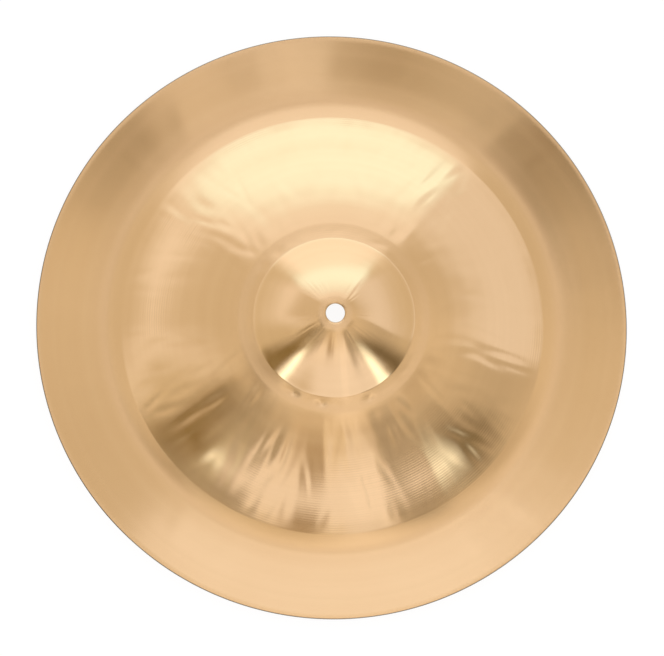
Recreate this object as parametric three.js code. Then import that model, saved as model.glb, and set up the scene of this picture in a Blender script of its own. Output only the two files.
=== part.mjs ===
// A china cymbal: one disc of cast, hammered and lathed bronze. The bell, the bow and the
// turned-up flange are zones of the same sheet, and the only opening is the stand hole.
// It lies bell up on the foot of the flange, just outside the crease, which is at height
// zero, with its axis on Z.

import * as THREE from "three";

// Driving dimensions, in millimetres
const cymbalDiameter = 406.4;
const creaseDiameter = 294;
const bellDiameter = 130;
const holeDiameter = 12.7;

// Widths of the narrow zones on either side of the driving diameters
const feltSeatWidth = 4;
const shoulderWidth = 4.2;
const bellFlankWidth = 14;
const bellRootWidth = 2.5;
const bellFootWidth = 8.5;
const bellLineWidth = 1.5;
const bowTopWidth = 15.5;
const bowFootWidth = 20.8;
const creaseWidth = 1.2;
const flangeFootWidth = 6;
const flangeBendWidth = 8;
const flangeSweepWidth = 19;

// The sheet thins from the hole to the rim, and is measured square to its faces
const holeThickness = 1.15;
const rimThickness = 0.8;

// Slopes as angles in degrees below level, going outwards: the flange climbs, so its angles are
// negative
const level = 0;
const bellTopAngle = 12.5;
const bellSideAngle = 26.5;
const bellSteepestAngle = 30;
const bellFootAngle = 4.5;
const bellLineAngle = 4;
const bowTopAngle = 10.5;
const bowSteepestAngle = 19;
const bowFootAngle = 11.5;
const creaseAngle = 4;
const flangeBendAngle = -9;
const flangeSteepestAngle = -13.7;
const flangeRimAngle = -13.4;

// Facets round the disc and along each zone of the outline
const turnFacets = 72;
const narrowFacets = 1;
const shoulderFacets = 2;
const bellFacets = 4;
const bellFlankFacets = 2;
const bellRootFacets = 2;
const bellFootFacets = 2;
const bowTopFacets = 3;
const bowFacets = 5;
const bowFootFacets = 3;
const flangeBendFacets = 2;
const flangeSweepFacets = 2;
const flangeFacets = 2;

// Radii that follow from the driving dimensions
const holeRadius = holeDiameter / 2;
const seatRadius = holeRadius + feltSeatWidth;
const shoulderRadius = seatRadius + shoulderWidth;
const bellRadius = bellDiameter / 2;
const bellRootRadius = bellRadius - bellFootWidth;
const bellSteepestRadius = bellRootRadius - bellRootWidth;
const bellSideRadius = bellSteepestRadius - bellFlankWidth;
const bellLineRadius = bellRadius + bellLineWidth;
const bowTopRadius = bellLineRadius + bowTopWidth;
const creaseRadius = creaseDiameter / 2;
const bowFootRadius = creaseRadius - creaseWidth;
const bowSteepestRadius = bowFootRadius - bowFootWidth;
const flangeFootRadius = creaseRadius + flangeFootWidth;
const flangeBendRadius = flangeFootRadius + flangeBendWidth;
const flangeSweepRadius = flangeBendRadius + flangeSweepWidth;
const rimRadius = cymbalDiameter / 2;

// Each zone is an arc that runs to a radius and leaves at a slope, so neighbours meet smoothly
const zones = [
  { toRadius: seatRadius, toSlope: level, facets: narrowFacets },
  { toRadius: shoulderRadius, toSlope: bellTopAngle, facets: shoulderFacets },
  { toRadius: bellSideRadius, toSlope: bellSideAngle, facets: bellFacets },
  { toRadius: bellSteepestRadius, toSlope: bellSteepestAngle, facets: bellFlankFacets },
  { toRadius: bellRootRadius, toSlope: bellFootAngle, facets: bellRootFacets },
  { toRadius: bellRadius, toSlope: level, facets: bellFootFacets },
  { toRadius: bellLineRadius, toSlope: bellLineAngle, facets: narrowFacets },
  { toRadius: bowTopRadius, toSlope: bowTopAngle, facets: bowTopFacets },
  { toRadius: bowSteepestRadius, toSlope: bowSteepestAngle, facets: bowFacets },
  { toRadius: bowFootRadius, toSlope: bowFootAngle, facets: bowFootFacets },
  { toRadius: creaseRadius, toSlope: creaseAngle, facets: narrowFacets },
  { toRadius: flangeFootRadius, toSlope: level, facets: narrowFacets },
  { toRadius: flangeBendRadius, toSlope: flangeBendAngle, facets: flangeBendFacets },
  { toRadius: flangeSweepRadius, toSlope: flangeSteepestAngle, facets: flangeSweepFacets },
  { toRadius: rimRadius, toSlope: flangeRimAngle, facets: flangeFacets },
];

// The far end of one facet of a zone, from the point where the zone starts
function pointAlongZone(start, zone, facet) {
  const share = facet / zone.facets;
  const width = zone.toRadius - start.radius;
  const endSlope = THREE.MathUtils.degToRad(zone.toSlope);
  const turn = Math.sin(endSlope) - Math.sin(start.slope);
  if (turn === 0) {
    const run = width * share;
    return {
      radius: start.radius + run,
      height: start.height - run * Math.tan(start.slope),
      slope: start.slope,
    };
  }
  const bendRadius = width / turn;
  const slope = THREE.MathUtils.lerp(start.slope, endSlope, share);
  return {
    radius: start.radius + bendRadius * (Math.sin(slope) - Math.sin(start.slope)),
    height: start.height + bendRadius * (Math.cos(slope) - Math.cos(start.slope)),
    slope,
  };
}

// The upper face from the hole to the rim, with the felt seat at height zero
function upperFace() {
  const points = [{ radius: holeRadius, height: 0, slope: level }];
  for (const zone of zones) {
    const start = points.at(-1);
    for (let facet = 1; facet <= zone.facets; facet += 1) {
      points.push(pointAlongZone(start, zone, facet));
    }
  }
  return points;
}

// The under face lies one sheet thickness below, square to the upper face
function underFace(upper) {
  return upper.map((point) => {
    const share = (point.radius - holeRadius) / (rimRadius - holeRadius);
    const thickness = THREE.MathUtils.lerp(holeThickness, rimThickness, share);
    const height = point.height - thickness / Math.cos(point.slope);
    return { radius: point.radius, height, slope: point.slope };
  });
}

// The closed section of the disc, lifted so that its lowest ring is at height zero
function sectionOutline() {
  const upper = upperFace();
  const under = underFace(upper);
  const lift = -Math.min(...under.map((point) => point.height));
  const loop = [...under, ...upper.reverse(), under[0]];
  return loop.map((point) => new THREE.Vector2(point.radius, point.height + lift));
}

// The whole disc, turned about the Z axis
function cymbalDisc() {
  const geometry = new THREE.LatheGeometry(sectionOutline(), turnFacets);
  geometry.rotateX(Math.PI / 2);
  const bronze = new THREE.MeshStandardMaterial({
    color: 0xdcb27c,
    roughness: 0.28,
    metalness: 1,
  });
  const disc = new THREE.Mesh(geometry, bronze);
  disc.name = "cymbal";
  return disc;
}

const chinaCymbal = new THREE.Group();
chinaCymbal.add(cymbalDisc());

export default chinaCymbal;
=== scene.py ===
"""China cymbal: the finish of the bronze disc, on a pale floor in a soft studio.

Units are metres, +Z is up, and the disc lies bell up with its axis on Z. The ring at the foot
of the flange, just outside the crease, rests on the floor at height zero.
"""

import math

import bpy
import numpy as np
from mathutils import Matrix, Vector


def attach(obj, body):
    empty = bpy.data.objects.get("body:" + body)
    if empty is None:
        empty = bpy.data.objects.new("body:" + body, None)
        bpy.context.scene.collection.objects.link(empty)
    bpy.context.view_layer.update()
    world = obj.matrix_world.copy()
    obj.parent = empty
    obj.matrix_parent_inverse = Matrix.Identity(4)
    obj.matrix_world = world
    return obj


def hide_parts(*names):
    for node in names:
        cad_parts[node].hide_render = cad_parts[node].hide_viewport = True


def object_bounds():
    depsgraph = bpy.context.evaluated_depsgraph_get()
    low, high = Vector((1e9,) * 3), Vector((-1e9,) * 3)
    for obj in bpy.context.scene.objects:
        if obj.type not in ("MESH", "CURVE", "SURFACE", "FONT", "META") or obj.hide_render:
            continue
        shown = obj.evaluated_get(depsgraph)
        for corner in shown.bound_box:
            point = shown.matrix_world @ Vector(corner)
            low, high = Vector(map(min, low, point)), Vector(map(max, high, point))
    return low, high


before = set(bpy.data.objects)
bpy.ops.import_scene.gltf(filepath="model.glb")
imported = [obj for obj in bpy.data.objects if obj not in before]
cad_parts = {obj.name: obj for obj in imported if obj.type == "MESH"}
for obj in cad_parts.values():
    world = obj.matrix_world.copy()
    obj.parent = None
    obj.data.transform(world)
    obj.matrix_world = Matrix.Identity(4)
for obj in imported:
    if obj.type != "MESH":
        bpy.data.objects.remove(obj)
cad_low, cad_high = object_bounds()

# The disc is one sheet of cast bronze, hammered to its shape and turned on a lathe, and it
# thins from the hole to the rim. The bell, the bow and the turned-up flange are zones of the
# same sheet, and the flange meets the bow at the crease.
RIM_RADIUS = (cad_high.x - cad_low.x) / 2
HOLE_RADIUS = 0.00635
HOLE_THICKNESS = 0.00115
RIM_THICKNESS = 0.0008
HOLE_ROUNDING = 0.0003
RIM_ARC_POINTS = 7
HOLE_ARC_POINTS = 3
TURN_STEPS = 690
MERGE_DISTANCE = 0.00001
# Each zone of the upper face is an arc. It has its outer radius, its slope there in degrees
# below level, and its count of rings.
ZONES = {
    "felt seat": (0.01035, 0, 2),
    "shoulder of the bell": (0.01455, 12.5, 4),
    "side of the bell": (0.04, 26.5, 12),
    "flank of the bell": (0.0547, 30, 8),
    "root of the bell": (0.0555, 3.2, 3),
    "dished foot of the bell": (0.060, 1.8, 6),
    "flat foot of the bell": (0.065, 0, 5),
    "line round the bell": (0.0665, 4, 2),
    "top of the bow": (0.082, 10.5, 7),
    "flank of the bow": (0.125, 19, 18),
    "foot of the bow": (0.1461, 11.5, 9),
    "crease": (0.1468, 4, 3),
    "foot of the flange": (0.153, 0, 3),
    "bend of the flange": (0.161, -9, 4),
    "sweep of the flange": (0.18, -13.7, 5),
    "flange up to the rim": (RIM_RADIUS, -13.4, 6),
}
# The under face has one ring for every three of the upper face
UNDER_STEP = 3


def upper_face_rings():
    """Radius, height and slope of each ring of the upper face, from the hole outwards."""
    rings = [(HOLE_RADIUS, 0.0, 0.0)]
    for outer, slope_degrees, count in ZONES.values():
        inner, height, slope = rings[-1]
        end_slope = math.radians(slope_degrees)
        bend = math.sin(end_slope) - math.sin(slope)
        for step in range(1, count + 1):
            share = step / count
            if bend == 0:
                run = (outer - inner) * share
                rings.append((inner + run, height - run * math.tan(slope), slope))
                continue
            bend_radius = (outer - inner) / bend
            turned = slope + (end_slope - slope) * share
            rings.append(
                (
                    inner + bend_radius * (math.sin(turned) - math.sin(slope)),
                    height + bend_radius * (math.cos(turned) - math.cos(slope)),
                    turned,
                )
            )
    return rings


def sheet_thickness(radius):
    """The sheet's thickness, which thins evenly from the hole to the rim."""
    share = (radius - HOLE_RADIUS) / (RIM_RADIUS - HOLE_RADIUS)
    return HOLE_THICKNESS + (RIM_THICKNESS - HOLE_THICKNESS) * share


def arc_points(centre, size, start_degrees, end_degrees, count):
    """Points of an arc in the section's plane, both ends included."""
    angles = [
        math.radians(start_degrees + (end_degrees - start_degrees) * step / (count - 1))
        for step in range(count)
    ]
    return [(centre[0] + size * math.cos(a), centre[1] + size * math.sin(a)) for a in angles]


upper = upper_face_rings()
under = [
    (radius, height - sheet_thickness(radius) / math.cos(slope), slope)
    for radius, height, slope in upper
]
lift = -min(height for _, height, _ in under)
upper_line = [(radius, height + lift) for radius, height, _ in upper]
under_line = [(radius, height + lift) for radius, height, _ in under]
under_line = under_line[UNDER_STEP - 1 : -1 : UNDER_STEP]
# The rim is a half round, and both edges of the punched hole are broken
rim_rounding = RIM_THICKNESS / 2
rim_slope = upper[-1][2]
rim_middle = (upper_line[-1][1] + under[-1][1] + lift) / 2
rim_centre = (
    RIM_RADIUS - rim_rounding,
    rim_middle + rim_rounding * math.tan(rim_slope),
)
rim_tilt = -math.degrees(rim_slope)
rim_arc = arc_points(
    rim_centre, rim_rounding, rim_tilt - 90, rim_tilt + 90, RIM_ARC_POINTS
)
hole_top = upper_line[0][1]
hole_bottom = hole_top - HOLE_THICKNESS
hole_wall = HOLE_RADIUS + HOLE_ROUNDING
top_edge = (hole_wall, hole_top - HOLE_ROUNDING)
bottom_edge = (hole_wall, hole_bottom + HOLE_ROUNDING)
hole_arc = arc_points(top_edge, HOLE_ROUNDING, 90, 180, HOLE_ARC_POINTS)
hole_arc += arc_points(bottom_edge, HOLE_ROUNDING, 180, 270, HOLE_ARC_POINTS)
outline = under_line + rim_arc + upper_line[1:-1][::-1] + hole_arc

# The outline of the section is a ring of points, which is turned once round the axis
bpy.ops.object.select_all(action="DESELECT")
bpy.ops.mesh.primitive_circle_add(vertices=len(outline), radius=RIM_RADIUS)
disc = bpy.context.object
disc.name = "bronze_disc"
for vertex, (radius, height) in zip(disc.data.vertices, outline):
    vertex.co = (radius, 0, height)
turning = disc.modifiers.new("turning", "SCREW")
turning.axis = "Z"
turning.angle = 2 * math.pi
turning.steps = TURN_STEPS
turning.render_steps = TURN_STEPS
turning.use_merge_vertices = True
turning.merge_threshold = MERGE_DISTANCE
bpy.ops.object.modifier_apply(modifier=turning.name)
bpy.ops.object.mode_set(mode="EDIT")
bpy.ops.mesh.select_all(action="SELECT")
bpy.ops.mesh.remove_doubles(threshold=MERGE_DISTANCE)
bpy.ops.mesh.normals_make_consistent(inside=False)
bpy.ops.object.mode_set(mode="OBJECT")

# The sheet is shaped with a hammer, which leaves shallow dents: long ones out along the bow and
# the flange, short ones round the bell's root, and fine flutes on the bell. Each kind keeps to
# one zone and dies out at both ends of it, so the crease and the edges keep their places.
MARK_KINDS = {
    "hammer": {
        "zone": (0.0665, 0.146),
        "rings": (0.078, 0.096, 0.114, 0.132),
        "spacing": 0.0085,
        "half_length": 0.012,
        "half_width": 0.0033,
        "depth": 0.00014,
        "twist": 25,
    },
    "broad": {
        "zone": (0.0665, 0.146),
        "rings": (0.095, 0.125),
        "spacing": 0.028,
        "half_length": 0.020,
        "half_width": 0.011,
        "depth": 0.00022,
        "twist": 25,
    },
    "flange": {
        "zone": (0.156, 0.201),
        "rings": (0.180,),
        "spacing": 0.025,
        "half_length": 0.015,
        "half_width": 0.009,
        "depth": 0.00007,
        "twist": 30,
    },
    "bell_root": {
        "zone": (0.045, 0.0645),
        "rings": (0.052, 0.060),
        "spacing": 0.010,
        "half_length": 0.003,
        "half_width": 0.005,
        "depth": 0.00008,
        "twist": 30,
    },
    "flutes": {
        "zone": (0.010, 0.040),
        "rings": (0.020,),
        "spacing": 0.0026,
        "half_length": 0.008,
        "half_width": 0.0008,
        "depth": 0.00005,
        "twist": 5,
    },
}
# No two blows are alike: each lands off its place by up to this share of its kind's spacing
# and half length, and has its own share of its kind's length, width and depth. It turns off the
# radius by up to its kind's twist, in degrees.
SCATTER = 0.4
LENGTH_SHARES = (0.7, 1.3)
WIDTH_SHARES = (0.7, 1.4)
DEPTH_SHARES = (0.0, 1.0)
SEED = 16
ZONE_FADE = 0.005
# A dent is followed out to this many times its half length or half width
REACH = 3.0
# A few dents stand alone: three deep ones at the bell's foot, and the others on the bow in
# front. Each has its radius, its angle in degrees, its half length, half width and depth.
LONE_DENTS = (
    (0.0585, -119, 0.0024, 0.0042, 0.00030),
    (0.0595, -99, 0.0024, 0.0038, 0.00030),
    (0.0600, -67, 0.0022, 0.0036, 0.00024),
    (0.0990, -120, 0.0120, 0.0020, 0.00009),
    (0.1000, -115, 0.0120, 0.0020, 0.00009),
    (0.0990, -110, 0.0120, 0.0020, 0.00009),
    (0.0980, -145, 0.0100, 0.0035, 0.00015),
    (0.1300, -139, 0.0080, 0.0050, 0.00012),
)
SMOOTH_ANGLE = math.radians(35)

draw = np.random.default_rng(SEED)
points = np.empty(3 * len(disc.data.vertices))
disc.data.vertices.foreach_get("co", points)
points = points.reshape(-1, 3)
radii = np.hypot(points[:, 0], points[:, 1])
angles = np.arctan2(points[:, 1], points[:, 0])


def eased(values, start, end):
    """A share that eases from 0 at the start to 1 at the end."""
    share = np.clip((values - start) / (end - start), 0, 1)
    return share * share * (3 - 2 * share)


def dent(relief, radius, angle, twist, half_length, half_width, depth):
    """Add one dent, twisted off the radius, to the relief, which is counted downwards."""
    turn = (angles - angle + math.pi) % (2 * math.pi) - math.pi
    sideways = turn * radii
    outwards = radii - radius
    reach = REACH * max(half_length, half_width)
    near = np.flatnonzero((np.abs(outwards) < reach) & (np.abs(sideways) < reach))
    sideways = sideways[near]
    outwards = outwards[near]
    across = (sideways * math.cos(twist) + outwards * math.sin(twist)) / half_width
    along = (outwards * math.cos(twist) - sideways * math.sin(twist)) / half_length
    relief[near] += depth * np.exp(-(across**2) - along**2)


for kind in MARK_KINDS.values():
    relief = np.zeros(len(points))
    for ring_radius in kind["rings"]:
        around = int(2 * math.pi * ring_radius / kind["spacing"])
        for place in range(around):
            dent(
                relief,
                ring_radius + draw.uniform(-SCATTER, SCATTER) * kind["half_length"],
                2 * math.pi * (place + draw.uniform(-SCATTER, SCATTER)) / around,
                math.radians(kind["twist"]) * draw.uniform(-1, 1),
                kind["half_length"] * draw.uniform(*LENGTH_SHARES),
                kind["half_width"] * draw.uniform(*WIDTH_SHARES),
                kind["depth"] * draw.uniform(*DEPTH_SHARES),
            )
    zone_start, zone_end = kind["zone"]
    relief *= eased(radii, zone_start, zone_start + ZONE_FADE)
    relief *= 1 - eased(radii, zone_end - ZONE_FADE, zone_end)
    points[:, 2] -= relief
relief = np.zeros(len(points))
for radius, turned, half_length, half_width, depth in LONE_DENTS:
    dent(relief, radius, math.radians(turned), 0, half_length, half_width, depth)
points[:, 2] -= relief
disc.data.vertices.foreach_set("co", points.ravel())
disc.data.update()
bpy.ops.object.shade_smooth_by_angle(angle=SMOOTH_ANGLE)

# The bronze is turned bright: fine grooves round the axis spread a reflection along the
# radius and hardly across it. The metal's tone and polish vary a little from ring to ring.
BRONZE = (0.635, 0.398, 0.180, 1)
BRONZE_DEEP = (0.61, 0.376, 0.166, 1)
ANISOTROPY = 0.9
GRAIN_TURN = 0.25
# Two noises mix the light and the deep tone: clouds, and rings counted to the metre
CLOUD_SCALE = 14
CLOUD_DETAIL = 3
CLOUD_SHARE = 0.6
TONE_RINGS = 160
TONE_DETAIL = 2
TONE_SHARE = 0.4
TONE_NOISE = (0.3, 0.7)
# The polish changes with the rings alone
POLISH_RINGS = 90
POLISH_DETAIL = 3
POLISH_NOISE = (0.25, 0.75)
ROUGHNESS = (0.14, 0.16)
# The cut edges are painted darker than the faces, a painted shade for the edge turned from the
# light, fully at the rim and in part at the hole, over this width, and the painted shade is
# gone at the second distance
EDGE_SHADE_TONE = (0.20, 0.15, 0.09, 1)
EDGE_WIDTH = 0.0005
EDGE_END = 0.00075
HOLE_SHADE_SHARE = 0.4
# A groove is the sum of the feed of the lathe's tool and its chatter, each a share of the
# depth
GROOVE_PITCH = 0.0016
GROOVE_DEPTH = 0.00003
FEED_SHARE = 0.6
CHATTER_PITCH = 0.0032
CHATTER_DETAIL = 1
CHATTER_SHARE = 0.8
# The grooves show in patches, most on the outer half of the bow and least on the flange
PATCH_SCALE = 22
PATCH_DETAIL = 2
PATCH_NOISE = (0.40, 0.60)
PATCH_STRENGTH = (0.2, 0.9)
BOW_RADII = (0.085, 0.115)
BOW_STRENGTH = (0.3, 1)
CREASE_RADII = (0.146, 0.150)
CREASE_STRENGTH = (1, 0.15)

bronze = bpy.data.materials.new("lathed_bronze")
bronze.use_nodes = True
nodes, links = bronze.node_tree.nodes, bronze.node_tree.links
shader = nodes["Principled BSDF"]
shader.inputs["Metallic"].default_value = 1
shader.inputs["Anisotropic"].default_value = ANISOTROPY
shader.inputs["Anisotropic Rotation"].default_value = GRAIN_TURN
tangent = nodes.new("ShaderNodeTangent")
tangent.direction_type = "RADIAL"
tangent.axis = "Z"
links.new(tangent.outputs["Tangent"], shader.inputs["Tangent"])

place = nodes.new("ShaderNodeTexCoord")
flatten = nodes.new("ShaderNodeVectorMath")
flatten.operation = "MULTIPLY"
flatten.inputs[1].default_value = (1, 1, 0)
links.new(place.outputs["Object"], flatten.inputs[0])
from_axis = nodes.new("ShaderNodeVectorMath")
from_axis.operation = "LENGTH"
links.new(flatten.outputs["Vector"], from_axis.inputs[0])
axis_distance = from_axis.outputs["Value"]


def maths(operation, first, second=None):
    """A Math node; each input is a socket or a number."""
    node = nodes.new("ShaderNodeMath")
    node.operation = operation
    for socket, value in zip(node.inputs, (first, second)):
        if isinstance(value, (int, float)):
            socket.default_value = value
        elif value is not None:
            links.new(value, socket)
    return node.outputs[0]


def cloud_noise(scale, detail):
    """Noise that changes in every direction."""
    noise = nodes.new("ShaderNodeTexNoise")
    noise.inputs["Scale"].default_value = scale
    noise.inputs["Detail"].default_value = detail
    links.new(place.outputs["Object"], noise.inputs["Vector"])
    return noise.outputs[0]


def ring_noise(rings_per_metre, detail):
    """Noise that changes only with the distance from the axis."""
    noise = nodes.new("ShaderNodeTexNoise")
    noise.noise_dimensions = "1D"
    noise.inputs["Scale"].default_value = rings_per_metre
    noise.inputs["Detail"].default_value = detail
    links.new(axis_distance, noise.inputs["W"])
    return noise.outputs[0]


def spread(value, old_range, new_range):
    """The value, carried from the old range to the new one and held at its ends."""
    node = nodes.new("ShaderNodeMapRange")
    links.new(value, node.inputs["Value"])
    node.inputs["From Min"].default_value = old_range[0]
    node.inputs["From Max"].default_value = old_range[1]
    node.inputs["To Min"].default_value = new_range[0]
    node.inputs["To Max"].default_value = new_range[1]
    return node.outputs["Result"]


tone = nodes.new("ShaderNodeMix")
tone.data_type = "RGBA"
tone.inputs["A"].default_value = BRONZE_DEEP
tone.inputs["B"].default_value = BRONZE
tone_share = maths(
    "ADD",
    spread(cloud_noise(CLOUD_SCALE, CLOUD_DETAIL), TONE_NOISE, (0, CLOUD_SHARE)),
    spread(ring_noise(TONE_RINGS, TONE_DETAIL), TONE_NOISE, (0, TONE_SHARE)),
)
links.new(tone_share, tone.inputs["Factor"])
# Painted shade: the colour darkens on a thin band at the rim, and in part round the hole, to
# stand in for the cut edge turned from the light
edge = nodes.new("ShaderNodeMix")
edge.data_type = "RGBA"
edge.inputs["B"].default_value = EDGE_SHADE_TONE
links.new(tone.outputs["Result"], edge.inputs["A"])
rim_shade_share = spread(
    axis_distance, (RIM_RADIUS - EDGE_END, RIM_RADIUS - EDGE_WIDTH), (0, 1)
)
hole_shade_share = spread(
    axis_distance, (HOLE_RADIUS + EDGE_WIDTH, HOLE_RADIUS + EDGE_END), (HOLE_SHADE_SHARE, 0)
)
links.new(maths("MAXIMUM", rim_shade_share, hole_shade_share), edge.inputs["Factor"])
links.new(edge.outputs["Result"], shader.inputs["Base Color"])
polish = spread(ring_noise(POLISH_RINGS, POLISH_DETAIL), POLISH_NOISE, ROUGHNESS)
links.new(polish, shader.inputs["Roughness"])

turns = maths("MULTIPLY", axis_distance, 2 * math.pi / GROOVE_PITCH)
feed = spread(maths("SINE", turns), (-1, 1), (0, 1))
chatter = ring_noise(1 / CHATTER_PITCH, CHATTER_DETAIL)
groove = maths(
    "ADD", maths("MULTIPLY", feed, FEED_SHARE), maths("MULTIPLY", chatter, CHATTER_SHARE)
)
patches = spread(cloud_noise(PATCH_SCALE, PATCH_DETAIL), PATCH_NOISE, PATCH_STRENGTH)
on_outer_bow = spread(axis_distance, BOW_RADII, BOW_STRENGTH)
off_flange = spread(axis_distance, CREASE_RADII, CREASE_STRENGTH)
groove_strength = maths("MULTIPLY", patches, maths("MULTIPLY", on_outer_bow, off_flange))
bump = nodes.new("ShaderNodeBump")
bump.inputs["Distance"].default_value = GROOVE_DEPTH
links.new(groove_strength, bump.inputs["Strength"])
links.new(groove, bump.inputs["Height"])
links.new(bump.outputs["Normal"], shader.inputs["Normal"])

disc.data.materials.clear()
disc.data.materials.append(bronze)
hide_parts("cymbal")
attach(disc, "root")

# The floor is a plain pale sheet. A camera or a reflection sees it white, and the rest of
# its light is diffuse, so it keeps the disc's soft shadow. From below it is clear.
FLOOR_SIZE = 12
FLOOR_DIFFUSE = 0.10
FLOOR_GLOW = 0.92
bpy.ops.object.select_all(action="DESELECT")
bpy.ops.mesh.primitive_plane_add(size=FLOOR_SIZE, location=(0, 0, 0))
floor = bpy.context.object
floor.name = "floor"
pale = bpy.data.materials.new("floor_white")
pale.use_nodes = True
floor_nodes, floor_links = pale.node_tree.nodes, pale.node_tree.links
floor_nodes.clear()
matt = floor_nodes.new("ShaderNodeBsdfDiffuse")
matt.inputs["Color"].default_value = (FLOOR_DIFFUSE, FLOOR_DIFFUSE, FLOOR_DIFFUSE, 1)
glow = floor_nodes.new("ShaderNodeEmission")
rays = floor_nodes.new("ShaderNodeLightPath")
seen = floor_nodes.new("ShaderNodeMath")
seen.operation = "MAXIMUM"
floor_links.new(rays.outputs["Is Camera Ray"], seen.inputs[0])
floor_links.new(rays.outputs["Is Glossy Ray"], seen.inputs[1])
seen_through = floor_nodes.new("ShaderNodeMath")
seen_through.operation = "MAXIMUM"
floor_links.new(seen.outputs[0], seen_through.inputs[0])
floor_links.new(rays.outputs["Is Transmission Ray"], seen_through.inputs[1])
strength = floor_nodes.new("ShaderNodeMath")
strength.operation = "MULTIPLY"
strength.inputs[1].default_value = FLOOR_GLOW
floor_links.new(seen_through.outputs[0], strength.inputs[0])
floor_links.new(strength.outputs[0], glow.inputs["Strength"])
both = floor_nodes.new("ShaderNodeAddShader")
floor_links.new(matt.outputs[0], both.inputs[0])
floor_links.new(glow.outputs[0], both.inputs[1])
side = floor_nodes.new("ShaderNodeNewGeometry")
clear = floor_nodes.new("ShaderNodeBsdfTransparent")
sheet = floor_nodes.new("ShaderNodeMixShader")
floor_links.new(side.outputs["Backfacing"], sheet.inputs[0])
floor_links.new(both.outputs[0], sheet.inputs[1])
floor_links.new(clear.outputs[0], sheet.inputs[2])
floor_output = floor_nodes.new("ShaderNodeOutputMaterial")
floor_links.new(sheet.outputs[0], floor_output.inputs[0])
floor.data.materials.append(pale)

# The studio is plain white all round, at a level where the bronze looks as it is written
world = bpy.data.worlds.new("studio")
world.use_nodes = True
world.node_tree.nodes["Background"].inputs["Color"].default_value = (1, 1, 1, 1)
world.node_tree.nodes["Background"].inputs["Strength"].default_value = 1.0
bpy.context.scene.world = world
bpy.context.scene.view_settings.view_transform = "Standard"

# Softboxes and flags hang round the camera and face the disc. Only reflections see them.
# A bright one lights a lobe or a streak of the bronze, and a dark one makes a gap or a dusk.
CARD_STEP = 0.01
CARD_HALF = 0.5
SOFT = (0.72, 1.0, 1.4)
COOL = (0.92, 1.0, 1.3)
STRIP = (0.80, 1.0, 1.3)
PLAIN = (0.97, 1.0, 1.2)
NEUTRAL = (1.0, 1.0, 1.04)
BROWN = (1.5, 1.0, 0.3)
UMBER = (1.25, 1.0, 0.4)
# Name, lean from the axis and turn round it in degrees, distance, width and length, roll in
# degrees, soft edge, light and tint. A later card hangs a step nearer than an earlier one.
CARDS = (
    ("north_wall", 83, 92, 3, (4.4, 3.6), -30, 1.2, 1.85, COOL),
    ("south_panel", 51, -92, 3, (5.9, 3.1), 10, 0.2, 1.54, COOL),
    ("left_flag", 46, 209, 3, (2.4, 0.6), -65, 0.5, 0.25, UMBER),
    ("softbox", 44, 89, 3, (3.4, 1.3), -10, 0.4, 2.37, SOFT),
    ("shade_left", 41, -160, 3, (0.15, 3.0), -5, 0.5, 0.9, NEUTRAL),
    ("shade_right", 34, -17, 3, (1.7, 2.8), -20, 0.5, 0.82, NEUTRAL),
    ("strip_left", 53, -136, 3, (0.25, 2.8), -5, 0.4, 3.8, STRIP),
    ("strip_right", 46, -40, 3, (0.4, 1.4), 10, 0.3, 4.0, STRIP),
    ("streak_right", 38, -74, 3, (0.35, 1.8), 10, 0.05, 1.65, COOL),
    ("lobe_left", 31, 146, 3, (1.85, 2.7), -15, 0.9, 1.62, COOL),
    ("lobe_right", 46, 24, 3, (2.7, 1.3), 10, 0.6, 1.4, COOL),
    ("overhead", 26, 91, 3, (2.8, 1.4), -10, 0.8, 1.57, COOL),
    ("flag_left", 38, -152.5, 3, (0.33, 5.7), -15, 0.5, 0.26, UMBER),
    ("dusk_left", 24.5, -152, 3, (0.42, 0.42), -15, 0.3, 0.1, UMBER),
    ("flag_right", 45, -30, 3, (0.6, 6.4), -10, 0.9, 0.12, UMBER),
    ("gap_left", 18, -132, 3, (0.74, 0.94), 20, 0.18, 0.08, UMBER),
    ("leg_right", 23, 33, 3, (1.05, 1.3), -10, 0.05, 0.95, NEUTRAL),
    ("gap_middle", 21, -99, 3, (0.3, 1.0), -15, 0.15, 0.2, BROWN),
    ("south_gap", 62, -119, 3, (1.25, 1.0), -45, 0.55, 1.0, NEUTRAL),
    ("middle_left", 13, -63, 3, (0.25, 1.5), 20, 0.1, 1.3, COOL),
    ("dusk_right", 27, -24, 3, (0.3, 0.3), 0, 0.3, 0.5, NEUTRAL),
    ("veil", 13, 118, 3, (0.4, 0.3), 0, 0.25, 0.88, NEUTRAL),
    ("haze_left", 13, 161, 3, (0.7, 0.3), 5, 0.25, 0.1, BROWN),
    ("haze_low", 7.5, 157, 3, (0.27, 0.45), -60, 0.2, 0.1, UMBER),
    ("foot_gap", 6.5, -78, 3, (0.25, 0.3), 0, 0.15, 0.7, COOL),
    ("wedge_a", 15, -30, 3, (1.0, 0.6), -15, 0.4, 0.1, BROWN),
    ("wedge_b", 9, -8, 3, (0.8, 0.2), -40, 0.1, 1.08, PLAIN),
    ("wedge_c", 11, -96, 3, (0.2, 0.7), 5, 0.1, 0.1, BROWN),
    ("wedge_d", 9, 181, 3, (0.15, 0.6), -45, 0.1, 0.1, BROWN),
    ("zenith", 7, 66, 3, (0.5, 0.5), -12, 0.15, 1.08, PLAIN),
    ("leg_left", 26.5, 150, 1.6, (0.6, 0.8), 0, 0.2, 1.01, NEUTRAL),
    ("streak_left", 12, -73, 1.2, (0.05, 0.8), 90, 0.9, 2.0, NEUTRAL),
    ("gap_right", 24, -50, 1.2, (0.05, 0.7), 20, 0.1, 0.55, NEUTRAL),
)


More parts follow.
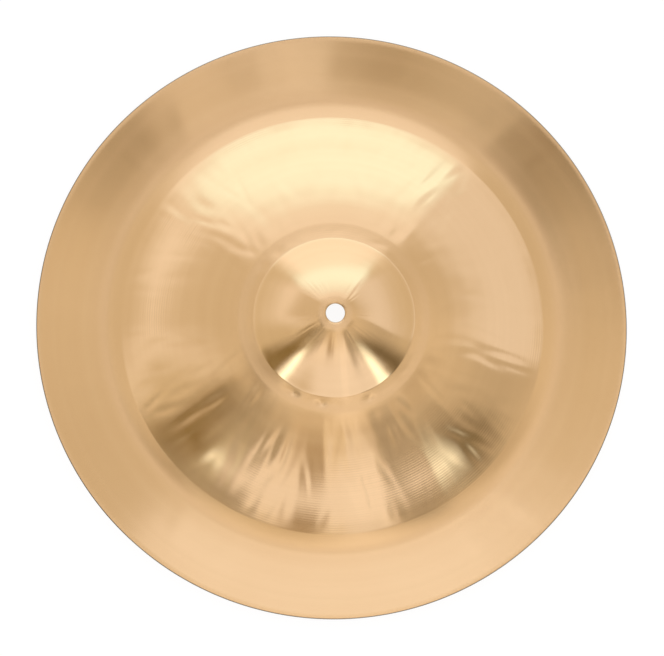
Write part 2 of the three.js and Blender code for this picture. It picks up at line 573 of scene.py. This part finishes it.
def card_light(name, width, length, edge, light, tint):
    """A light that fades out over the soft edge, half of it inside the width and length."""
    material = bpy.data.materials.new(name)
    material.use_nodes = True
    tree = material.node_tree
    tree.nodes.clear()
    corners = tree.nodes.new("ShaderNodeTexCoord")
    split = tree.nodes.new("ShaderNodeSeparateXYZ")
    tree.links.new(corners.outputs["Object"], split.inputs[0])
    shares = []
    for axis, span in (("X", width), ("Y", length)):
        off = tree.nodes.new("ShaderNodeMath")
        off.operation = "ABSOLUTE"
        tree.links.new(split.outputs[axis], off.inputs[0])
        fade = tree.nodes.new("ShaderNodeMapRange")
        fade.interpolation_type = "SMOOTHSTEP"
        fade.inputs["From Min"].default_value = CARD_HALF
        fade.inputs["From Max"].default_value = CARD_HALF * (span - edge) / (span + edge)
        tree.links.new(off.outputs[0], fade.inputs["Value"])
        shares.append(fade.outputs["Result"])
    cover = tree.nodes.new("ShaderNodeMath")
    cover.operation = "MULTIPLY"
    tree.links.new(shares[0], cover.inputs[0])
    tree.links.new(shares[1], cover.inputs[1])
    emission = tree.nodes.new("ShaderNodeEmission")
    emission.inputs["Color"].default_value = (*tint, 1)
    emission.inputs["Strength"].default_value = light
    clear_edge = tree.nodes.new("ShaderNodeBsdfTransparent")
    mix = tree.nodes.new("ShaderNodeMixShader")
    tree.links.new(cover.outputs[0], mix.inputs[0])
    tree.links.new(clear_edge.outputs[0], mix.inputs[1])
    tree.links.new(emission.outputs[0], mix.inputs[2])
    output = tree.nodes.new("ShaderNodeOutputMaterial")
    tree.links.new(mix.outputs[0], output.inputs[0])
    return material


def studio_card(order, name, lean, turn, distance, size, roll, edge, light, tint):
    """A card with soft edges, which faces the disc and is seen by reflections alone."""
    width, length = size
    bpy.ops.object.select_all(action="DESELECT")
    bpy.ops.mesh.primitive_plane_add(size=2 * CARD_HALF)
    card = bpy.context.object
    card.name = name
    lean_angle, turn_angle = math.radians(lean), math.radians(turn)
    outward = Vector(
        (
            math.sin(lean_angle) * math.cos(turn_angle),
            math.sin(lean_angle) * math.sin(turn_angle),
            math.cos(lean_angle),
        )
    )
    level = Vector((-math.sin(turn_angle), math.cos(turn_angle), 0))
    falling = level.cross(outward)
    roll_angle = math.radians(roll)
    across = level * math.cos(roll_angle) + falling * math.sin(roll_angle)
    along = falling * math.cos(roll_angle) - level * math.sin(roll_angle)
    turned = Matrix((across, along, -outward)).transposed()
    card.matrix_world = (
        Matrix.Translation(outward * (distance - order * CARD_STEP))
        @ turned.to_4x4()
        @ Matrix.Diagonal((width + edge, length + edge, 1, 1))
    )
    card.visible_camera = False
    card.visible_diffuse = False
    card.visible_shadow = False
    card.data.materials.append(card_light(name, width, length, edge, light, tint))


for order, card in enumerate(CARDS):
    studio_card(order, *card)

# The camera stands over the disc and leans back from the axis by less than ten degrees, so
# the rim is nearly a circle. The lean's bearing is counted from -Y towards -X. It aims at a
# point of the rim's height, a little in front of the axis.
LEAN = math.radians(9.66)
LEAN_BEARING = math.radians(14.71)
AIM = Vector((-0.00119, -0.00590, 0.01092))
AIM_DISTANCE = 1.16343
SENSOR_WIDTH = 36.0
LENS = 91.82

away = Vector(
    (
        -math.sin(LEAN_BEARING) * math.sin(LEAN),
        -math.cos(LEAN_BEARING) * math.sin(LEAN),
        math.cos(LEAN),
    )
)
right = Vector((1, 0, 0))
right = (right - right.dot(away) * away).normalized()
up = away.cross(right)
camera_data = bpy.data.cameras.new("camera")
camera_data.sensor_width = SENSOR_WIDTH
camera_data.lens = LENS
camera = bpy.data.objects.new("camera", camera_data)
bpy.context.scene.collection.objects.link(camera)
camera.matrix_world = Matrix.Translation(AIM + away * AIM_DISTANCE) @ Matrix(
    (right, up, away)
).transposed().to_4x4()
bpy.context.scene.camera = camera
